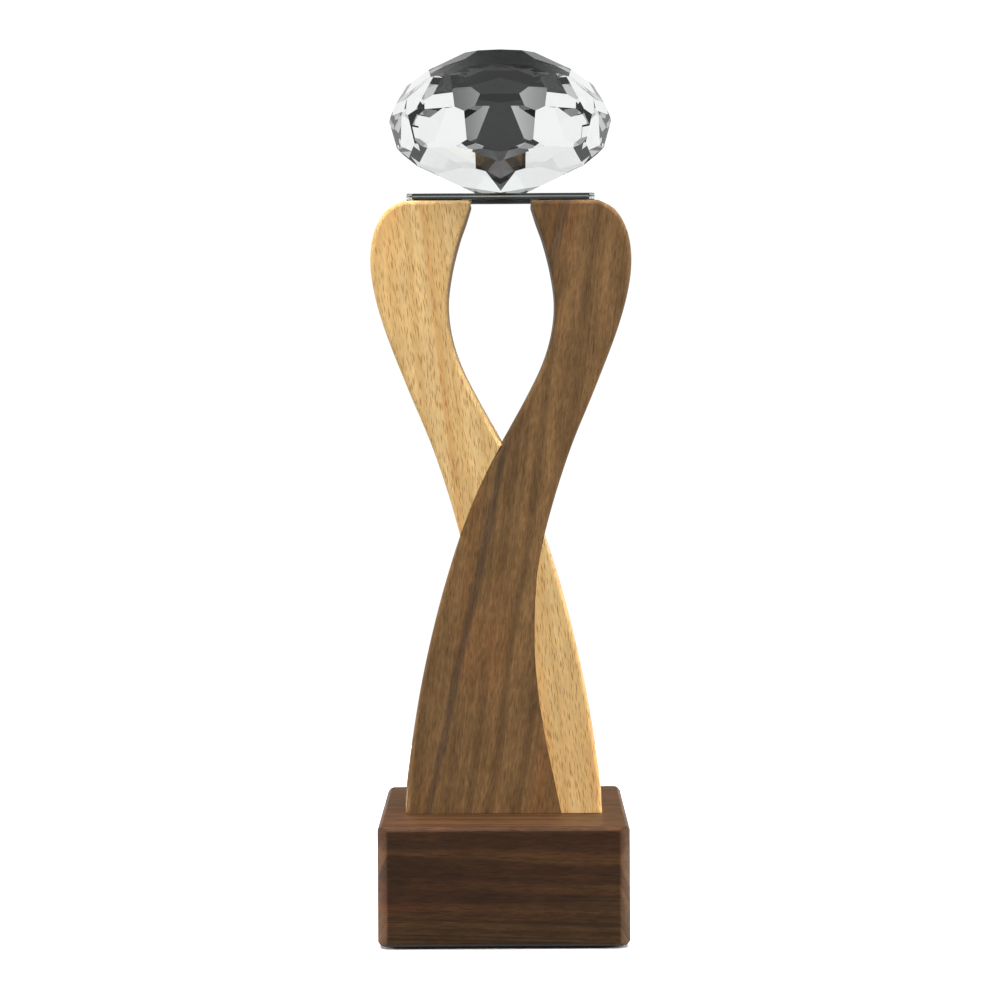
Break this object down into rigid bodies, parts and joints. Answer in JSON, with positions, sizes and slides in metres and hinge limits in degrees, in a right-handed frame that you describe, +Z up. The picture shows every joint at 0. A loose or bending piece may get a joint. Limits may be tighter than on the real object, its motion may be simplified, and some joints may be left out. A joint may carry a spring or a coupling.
{
  "type": "crystal award",
  "caption": "Faceted round crystal on a small glass plate, held up by two crossing S-shaped wooden arms on a square wooden base block.",
  "frame": {"origin": "centre of the felt pad's underside, on the surface that the award stands on", "axes": "+Z up; -Y towards the front, where the walnut arm lies over the beech arm; +X to the right seen from the front"},
  "size_m": [0.0884, 0.084, 0.3005],
  "materials": {
    "felt": "matt felt",
    "base_walnut": "dark walnut, satin oil",
    "walnut": "walnut, satin oil",
    "beech": "beech, satin oil",
    "dowel_beech": "plain turned wood",
    "zinc_steel": "zinc-plated",
    "clear_adhesive": "clear cured adhesive",
    "plate_glass": "polished float glass",
    "crystal": "cut and polished clear crystal"
  },
  "bodies": {
    "root": {"felt_pad": "felt", "base_block": "base_walnut", "walnut_arm": "walnut", "beech_arm": "beech", "foot_dowels": "dowel_beech", "base_screws": "zinc_steel", "screw_washers": "zinc_steel", "plate_adhesive_pads": "clear_adhesive", "glass_plate": "plate_glass", "crystal_bond": "clear_adhesive", "crystal_gem": "crystal"}
  },
  "joints": []
}
